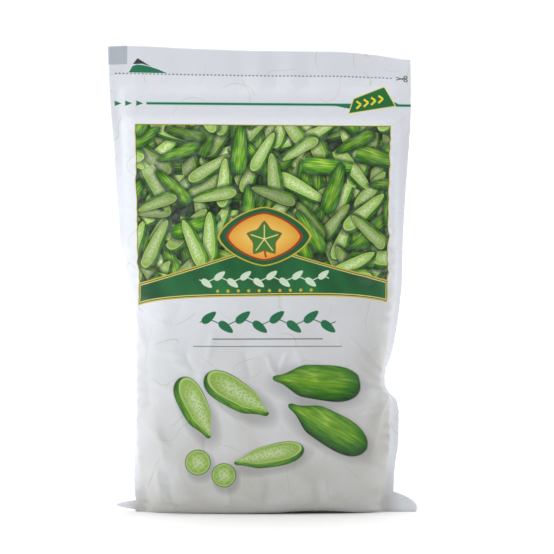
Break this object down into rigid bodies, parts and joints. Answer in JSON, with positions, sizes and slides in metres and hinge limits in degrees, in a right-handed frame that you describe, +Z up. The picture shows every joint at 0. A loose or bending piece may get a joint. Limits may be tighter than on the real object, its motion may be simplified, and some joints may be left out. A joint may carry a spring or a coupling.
{
  "type": "frozen vegetable zip pouch",
  "caption": "Sealed, printed plastic zip pouch filled with frozen gourd halves, standing on its settled base with the bottom seal folded under.",
  "frame": {"origin": "middle of the pouch's box at the level of the surface it stands on", "axes": "+Z up along the pouch's height, +X to the right as seen from the printed front, front towards -Y"},
  "size_m": [0.1936, 0.0596, 0.292],
  "materials": {
    "film_front": "satin printed laminate film",
    "film_back": "satin printed laminate film",
    "zip": "extruded translucent strip",
    "gourd": "frozen vegetable, green skin and pale flesh"
  },
  "bodies": {
    "root": {"film_front": "film_front", "film_back": "film_back", "zip_bead_strip": "zip", "zip_jaw_strip": "zip", "gourd_half_01": "gourd", "gourd_half_02": "gourd", "gourd_half_03": "gourd", "gourd_half_04": "gourd", "gourd_half_05": "gourd", "gourd_half_06": "gourd", "gourd_half_07": "gourd", "gourd_half_08": "gourd", "gourd_half_09": "gourd", "gourd_half_10": "gourd", "gourd_half_11": "gourd", "gourd_half_12": "gourd", "gourd_half_13": "gourd", "gourd_half_14": "gourd", "gourd_half_15": "gourd", "gourd_half_16": "gourd", "gourd_half_17": "gourd", "gourd_half_18": "gourd", "gourd_half_19": "gourd", "gourd_half_20": "gourd", "gourd_half_21": "gourd", "gourd_half_22": "gourd", "gourd_half_23": "gourd", "gourd_half_24": "gourd", "gourd_half_25": "gourd", "gourd_half_26": "gourd", "gourd_half_27": "gourd", "gourd_half_28": "gourd", "gourd_half_29": "gourd", "gourd_half_30": "gourd", "gourd_half_31": "gourd", "gourd_half_32": "gourd", "gourd_half_33": "gourd", "gourd_half_34": "gourd", "gourd_half_35": "gourd", "gourd_half_36": "gourd", "gourd_half_37": "gourd", "gourd_half_38": "gourd", "gourd_half_39": "gourd", "gourd_half_40": "gourd", "gourd_half_41": "gourd", "gourd_half_42": "gourd", "gourd_half_43": "gourd", "gourd_half_44": "gourd", "gourd_half_45": "gourd", "gourd_half_46": "gourd", "gourd_half_47": "gourd", "gourd_half_48": "gourd", "gourd_half_49": "gourd", "gourd_half_50": "gourd", "gourd_half_51": "gourd", "gourd_half_52": "gourd"}
  },
  "joints": []
}
